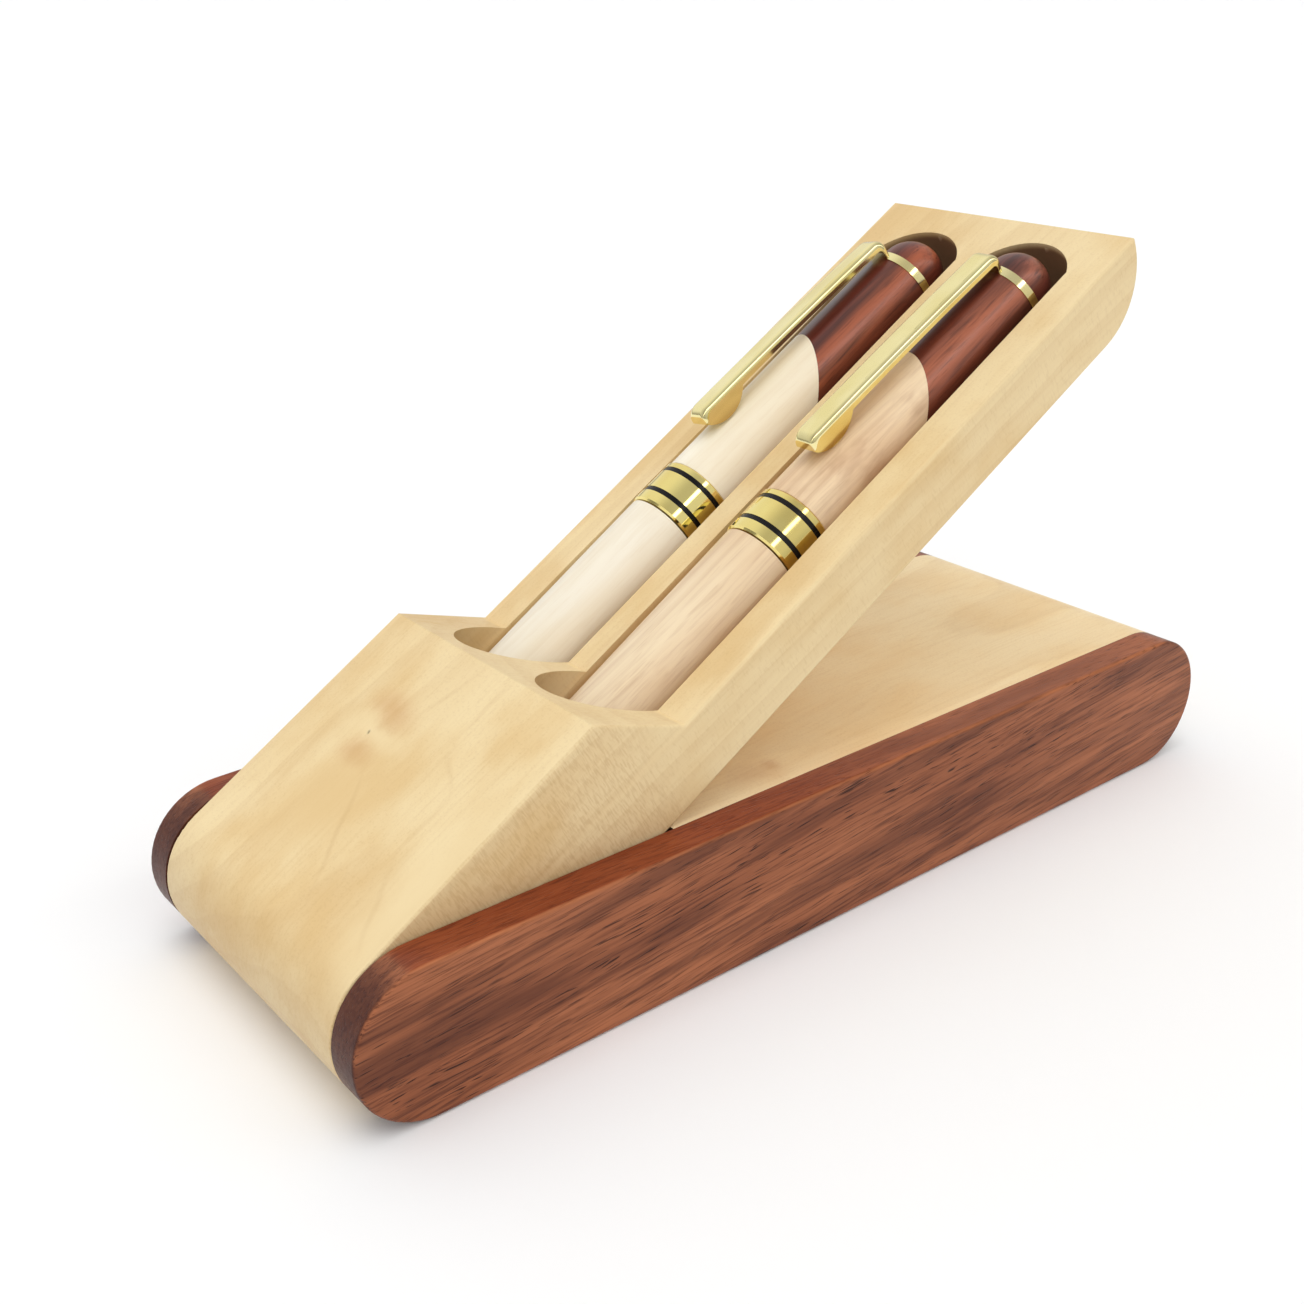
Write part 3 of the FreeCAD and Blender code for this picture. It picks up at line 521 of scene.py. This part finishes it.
def rail_rosewood():
    """Oiled rosewood: dark bands, hairs and long open pores that climb a little along the rail. The top is redder
    and darker with painted shade beside the tray and faded and lighter past it, the ends have painted shade, and the
    outer top edge is rubbed paler with a painted highlight."""
    material, tree, shader = new_material("rail_rosewood")
    place = placed(tree)
    grain, figure = wood_figure(tree, place, RAIL_BOARD)
    colour = tint(tree, ramp(tree, figure["Clouds"], 0.3, 0.72), ROSE_LIGHT, ROSE_MID)
    bands = noise(tree, stretch(tree, grain, BAND_WAVES), 3.0, 0.5)
    hairs = noise(tree, stretch(tree, grain, HAIR_WAVES), 3.0, 0.6)
    dark_marks = (
        (bands, 0.42, 0.7, 0.6),
        (figure["Streaks"], 0.46, 0.7, 0.35),
        (figure["Fibres"], 0.42, 0.8, 0.55),
        (hairs, 0.48, 0.68, 0.6),
    )
    for marks, low, high, share in dark_marks:
        colour = tint(tree, ramp(tree, marks, low, high, 0.0, share), colour, ROSE_DARK)
    in_clusters = ramp(tree, figure["Clouds"], 0.4, 0.6, 0.4, 0.9)
    colour = tint(tree, times(tree, figure["Pores"], in_clusters), colour, ROSE_PORE)

    parts = split(tree, place)
    to_face = calculate(tree, "SUBTRACT", RAIL_OUTER, calculate(tree, "ABSOLUTE", parts["Y"]))
    to_top = calculate(tree, "SUBTRACT", PANEL_TOP, parts["Z"])
    off_face = ramp(tree, to_face, *FACE_FADE)
    on_top = times(tree, ramp(tree, parts["Z"], PANEL_TOP - 0.5, PANEL_TOP - 0.1), off_face)
    # Painted shade: the top redder and darker beside the tray, lighter and faded past it
    near_tray_shaded = ramp(tree, parts["X"], *TRAY_SHADE_SPAN, RED_AND_SHADE_SHARE, 0.0)
    colour = tint(tree, times(tree, on_top, near_tray_shaded), colour, ROSE_RED_AND_SHADE)
    past_tray_lit = ramp(tree, parts["X"], *TRAY_SHADE_SPAN, 0.0, FADED_AND_LIT_SHARE)
    colour = tint(tree, times(tree, on_top, past_tray_lit), colour, ROSE_FADED_AND_LIT)
    top_streaks = ramp(tree, hairs, 0.45, 0.7, 0.0, 0.5)
    colour = tint(tree, times(tree, top_streaks, near_tray_shaded, on_top), colour, ROSE_DARK)
    # Painted shade on the rail's ends past the pivot
    past_pivot = calculate(tree, "SUBTRACT", calculate(tree, "ABSOLUTE", parts["X"]), PIVOT_REACH)
    at_shaded_end = ramp(tree, past_pivot, *END_SHADE_SPAN, 0.0, END_SHADE_SHARE)
    colour = tint(tree, times(tree, at_shaded_end, off_face), colour, ROSE_END_SHADE)
    # The outer top edge rubbed paler, with a painted highlight
    face_wear_and_highlight = times(tree, to_face, RAIL_WEAR_AND_HIGHLIGHT_NARROW)
    top_wear_and_highlight = times(tree, to_top, RAIL_WEAR_AND_HIGHLIGHT_NARROW)
    colour = worn_and_lit(tree, place, face_wear_and_highlight, top_wear_and_highlight, colour, ROSE_WORN_AND_LIT)
    roughness = ramp(tree, figure["Fibres"], 0.3, 0.8, 0.34, 0.48)
    height = calculate(tree, "SUBTRACT", figure["Fibres"], figure["Pores"])
    normal = relief(tree, height, depth=0.08, strength=0.4)
    link_surface(tree, shader, colour, roughness, normal, specular=0.15)
    return material


# Woods of the pens

# A wood's pale, deep and line tones, how much its streaks, fibres and pores show, its coat's weight, how much its
# curl shows, and whether it has a painted highlight, a pale band along one side
PenWood = namedtuple("PenWood", "pale deep line streaks fibres pores coat curl flame", defaults=(0.0, False))
PEN_WOODS = {
    "left_pen_barrel": PenWood(
        tone(252, 245, 229), tone(245, 233, 208), tone(220, 196, 156),
        streaks=0.2, fibres=0.25, pores=0.1, coat=0.12),
    "left_pen_cap_lower": PenWood(
        tone(255, 249, 232), tone(250, 238, 212), tone(220, 192, 150),
        streaks=0.15, fibres=0.2, pores=0.1, coat=0.12),
    "right_pen_barrel": PenWood(
        tone(245, 224, 189), tone(231, 200, 159), tone(184, 134, 96),
        streaks=0.22, fibres=0.42, pores=0.15, coat=0.12),
    "right_pen_cap_lower": PenWood(
        tone(248, 226, 190), tone(233, 199, 158), tone(166, 110, 72),
        streaks=0.4, fibres=0.3, pores=0.1, coat=0.12, curl=0.35),
    "left_pen_cap_upper": PenWood(
        tone(172, 90, 56), tone(100, 42, 29), tone(44, 16, 13),
        streaks=0.75, fibres=0.6, pores=0.3, coat=0.6, flame=True),
    "right_pen_cap_upper": PenWood(
        tone(170, 92, 60), tone(98, 42, 29), tone(44, 16, 13),
        streaks=0.75, fibres=0.6, pores=0.3, coat=0.6, flame=True),
    "left_pen_finial": PenWood(
        tone(172, 90, 58), tone(112, 49, 34), tone(56, 22, 17),
        streaks=0.7, fibres=0.6, pores=0.4, coat=0.4, flame=True),
    "right_pen_finial": PenWood(
        tone(170, 98, 74), tone(112, 56, 44), tone(48, 21, 19),
        streaks=0.8, fibres=0.7, pores=0.4, coat=0.4, flame=True),
}
# Each pen has its own place in the wood, so that the two differ in their grain
PEN_BOARDS = {
    side: Board((sign * 60.0, sign * 8.0, 13.0), (0.0, 2.0, 3.0), ring_width=2.6, waviness=4.0, pore_fineness=2.4)
    for side, sign in SIDES.items()
}
CURL_WAVES = (0.12, 0.3, 0.3)
COAT_ROUGHNESS = 0.26
# Where the painted highlight, a pale band, lies round the pen, from its right side up, how far the clouds bend it,
# and the span over which it fades, all in degrees
HIGHLIGHT_AT = 42.0
HIGHLIGHT_WAVER = 30.0
HIGHLIGHT_FADE = (6.0, 36.0)


def off_highlight(tree, place, clouds):
    """How far a place lies off the painted highlight: nothing in its middle and one where it has faded out."""
    parts = split(tree, place)
    to_right = times(tree, parts["Y"], -1.0)
    round_pen = calculate(tree, "DEGREES", calculate(tree, "ARCTAN2", parts["Z"], to_right))
    wavering = calculate(tree, "MULTIPLY_ADD", clouds, HIGHLIGHT_WAVER, round_pen)
    return ramp(tree, apart(tree, wavering, HIGHLIGHT_AT + HIGHLIGHT_WAVER / 2), *HIGHLIGHT_FADE)


def pen_wood(name, side):
    """Turned and polished wood, with its grain along the pen. Some of it has a curl across the grain, and some a
    painted highlight, a pale band along one side."""
    wood = PEN_WOODS[name]
    material, tree, shader = new_material(f"{name}_wood")
    place = in_tray(tree, SIDES[side] * PEN_OFFSET, PEN_AXIS)
    grain, figure = wood_figure(tree, place, PEN_BOARDS[side])
    if wood.flame:
        # Painted highlight: the pale tone in a band round the pen, the deep tone off it
        deepness = off_highlight(tree, place, figure["Clouds"])
    else:
        deepness = ramp(tree, figure["Clouds"], 0.3, 0.7)
    colour = tint(tree, deepness, wood.pale, wood.deep)
    curl = noise(tree, stretch(tree, grain, CURL_WAVES), 3.0, 0.55)
    colour = tint(tree, ramp(tree, curl, 0.45, 0.75, 0.0, wood.curl), colour, wood.line)
    colour = tint(tree, ramp(tree, figure["Streaks"], 0.42, 0.7, 0.0, wood.streaks), colour, wood.line)
    colour = tint(tree, ramp(tree, figure["Fibres"], 0.42, 0.85, 0.0, wood.fibres), colour, wood.line)
    colour = tint(tree, times(tree, figure["Pores"], wood.pores), colour, wood.line)
    marks = use(tree, HANDLING, {"Place": place})
    roughness = ramp(tree, marks["Smears"], 0.3, 0.7, 0.34, 0.46)
    normal = relief(tree, figure["Fibres"], depth=0.02, strength=0.15)
    link_surface(tree, shader, colour, roughness, normal, specular=0.3)
    shader["Coat Weight"].default_value = wood.coat
    shader["Coat Roughness"].default_value = COAT_ROUGHNESS
    return material


# Metal, resin and plastic

# How much rougher smears and scratches make a finish, and how deep the scratches are in millimetres
SMEAR_ROUGH = 0.05
SCRATCH_ROUGH = 0.06
SCRATCH_DEPTH = 0.004


def smooth_finish(name, main, smeared, rough, sharp, metallic=0.0, coat=0.0, specular=0.5):
    """A smooth material that handling has smeared and scratched a little. Sharp says how much the scratches
    show."""
    material, tree, shader = new_material(name)
    marks = use(tree, HANDLING, {"Place": in_tray(tree)})
    colour = tint(tree, ramp(tree, marks["Smears"], 0.35, 0.7), main, smeared)
    dulled = ramp(tree, marks["Smears"], 0.3, 0.7, rough, rough + SMEAR_ROUGH)
    roughness = calculate(tree, "ADD", dulled, times(tree, marks["Scratches"], SCRATCH_ROUGH))
    normal = relief(tree, marks["Scratches"], SCRATCH_DEPTH, sharp)
    link_surface(tree, shader, colour, roughness, normal, specular)
    shader["Metallic"].default_value = metallic
    shader["Coat Weight"].default_value = coat
    return material


GOLD = smooth_finish("polished_gold", tone(244, 227, 147), tone(236, 214, 131), 0.05, 0.04, metallic=1.0)
# A paler copy of the polished gold for the clips, painted lighter to stand in for the light on their faces
CLIP_GOLD_LIT = smooth_finish("pale_gold_lit", tone(247, 235, 176), tone(240, 225, 158), 0.06, 0.04, metallic=1.0)
BRASS = smooth_finish("plain_brass", tone(214, 184, 116), tone(192, 158, 92), 0.28, 0.3, metallic=1.0)
STEEL = smooth_finish("pin_steel", tone(196, 198, 202), tone(170, 172, 176), 0.3, 0.3, metallic=1.0)
BLACK_RESIN = smooth_finish("black_resin", tone(14, 12, 12), tone(24, 21, 20), 0.24, 0.1, specular=0.2)
BLACK_PLASTIC = smooth_finish("black_plastic", tone(30, 30, 31), tone(44, 43, 43), 0.42, 0.3)
CONVERTER = smooth_finish("converter_plastic", tone(214, 220, 224), tone(196, 203, 208), 0.2, 0.1, coat=0.2)
PEN_FINISHES = {
    "barrel_end": GOLD, "centre_band": GOLD, "clip": CLIP_GOLD_LIT, "nib": GOLD,
    "barrel_tube": BRASS, "cap_tube": BRASS, "cap_plug": BRASS,
    "band_inlays": BLACK_RESIN, "grip_section": BLACK_RESIN, "feed": BLACK_PLASTIC, "converter": CONVERTER,
}


def dress(name, material):
    """Give a CAD node its material."""
    slots = nodes[name].data.materials
    slots.clear()
    slots.append(material)


ROSEWOOD = rail_rosewood()
dress("left_rail", ROSEWOOD)
dress("right_rail", ROSEWOOD)
dress("top_panel", panel_maple())
dress("pen_tray", tray_maple())
dress("pivot_pins", STEEL)
for side in SIDES:
    for piece in ("barrel", "cap_lower", "cap_upper", "finial"):
        dress(f"{side}_pen_{piece}", pen_wood(f"{side}_pen_{piece}", side))
    for piece, finish in PEN_FINISHES.items():
        dress(f"{side}_pen_{piece}", finish)


# Floor, light and camera

# The floor lies a hair below the rails, so that no two faces share one plane. Both sizes are in metres.
FLOOR_DROP = 0.0001
FLOOR_SIZE = 30.0
FLOOR_WHITE = (0.98, 0.98, 0.98, 1.0)
FLOOR_ROUGHNESS = 0.9


def pale_floor():
    bpy.ops.mesh.primitive_plane_add(size=FLOOR_SIZE, location=(0.0, 0.0, -FLOOR_DROP))
    floor = bpy.context.object
    floor.name = "floor"
    material, _, shader = new_material("floor_white")
    shader["Base Color"].default_value = FLOOR_WHITE
    shader["Roughness"].default_value = FLOOR_ROUGHNESS
    floor.data.materials.append(material)


# Steps in the studio's brightness, going over from the left horizon to the right one: where each step begins
# and ends, in degrees, and by how much the light grows
STUDIO_START = 0.42
STUDIO_STEPS = (
    (2.0, 14.0, 0.5), (60.0, 110.0, -0.36), (127.0, 130.0, 3.2), (135.0, 138.0, -3.0), (150.0, 175.0, -0.2),
)
# How far towards the studio's ends, as a share, its light dims, and what is left of it there
STUDIO_END_SPAN = (0.2, 1.0)
STUDIO_END_LIGHT = 0.6


def studio_world():
    """A white studio: a bright left wall, a duller ceiling, a narrow strip lamp high on the right, and dim ends.
    The camera itself sees it as plain white."""
    world = bpy.data.worlds.new("studio")
    bpy.context.scene.world = world
    world.use_nodes = True
    tree = world.node_tree
    shade = tree.nodes["Background"].inputs
    shade["Color"].default_value = (1.0, 1.0, 1.0, 1.0)
    parts = split(tree, add(tree, "ShaderNodeTexCoord").outputs["Generated"])
    over = calculate(tree, "DEGREES", calculate(tree, "ARCTAN2", parts["Z"], parts["Y"]))
    light = STUDIO_START
    for begin, end, growth in STUDIO_STEPS:
        light = calculate(tree, "ADD", ramp(tree, over, begin, end, 0.0, growth), light)
    to_end = calculate(tree, "ABSOLUTE", parts["X"])
    light = times(tree, light, ramp(tree, to_end, *STUDIO_END_SPAN, 1.0, STUDIO_END_LIGHT))
    seen = add(tree, "ShaderNodeLightPath").outputs["Is Camera Ray"]
    tree.links.new(calculate(tree, "MAXIMUM", light, seen), shade["Strength"])


SUN_ENERGY = 0.85
SUN_SPREAD = math.radians(40)
SUN_WAY = Vector((0.12, 0.12, -0.985))


def soft_sun():
    lamp = bpy.data.lights.new("window", "SUN")
    lamp.energy = SUN_ENERGY
    lamp.angle = SUN_SPREAD
    holder = bpy.data.objects.new("window", lamp)
    holder.visible_glossy = False
    holder.rotation_euler = SUN_WAY.to_track_quat("-Z", "Y").to_euler()
    bpy.context.scene.collection.objects.link(holder)


# The photograph's camera, fitted to the case's edges: its bearing, tilt and roll in degrees, its place and nearest
# seen point in metres, and its lens in millimetres
CAMERA_ANGLES = (37.4615, 26.3480, -1.5432)
CAMERA_PLACE = (-0.14918, -0.17699, 0.13712)
NEAREST_SEEN = 0.01
SENSOR_WIDTH = 36.0
FOCAL_LENGTH = 43.891
LENS_SHIFT = 0.0472


def camera():
    bearing, tilt, roll = in_radians(*CAMERA_ANGLES)
    ahead = Vector((math.sin(bearing) * math.cos(tilt), math.cos(bearing) * math.cos(tilt), -math.sin(tilt)))
    level = Vector((math.cos(bearing), -math.sin(bearing), 0.0))
    upright = level.cross(ahead)
    sideways = math.cos(roll) * level + math.sin(roll) * upright
    upwards = math.cos(roll) * upright - math.sin(roll) * level
    lens = bpy.data.cameras.new("camera")
    lens.sensor_width = SENSOR_WIDTH
    lens.lens = FOCAL_LENGTH
    lens.shift_y = LENS_SHIFT
    lens.clip_start = NEAREST_SEEN
    holder = bpy.data.objects.new("camera", lens)
    bpy.context.scene.collection.objects.link(holder)
    axes = Matrix((sideways, upwards, -ahead)).transposed()
    holder.matrix_world = Matrix.Translation(CAMERA_PLACE) @ axes.to_4x4()
    bpy.context.scene.camera = holder


pale_floor()
studio_world()
soft_sun()
camera()
bpy.context.scene.view_settings.view_transform = "Standard"
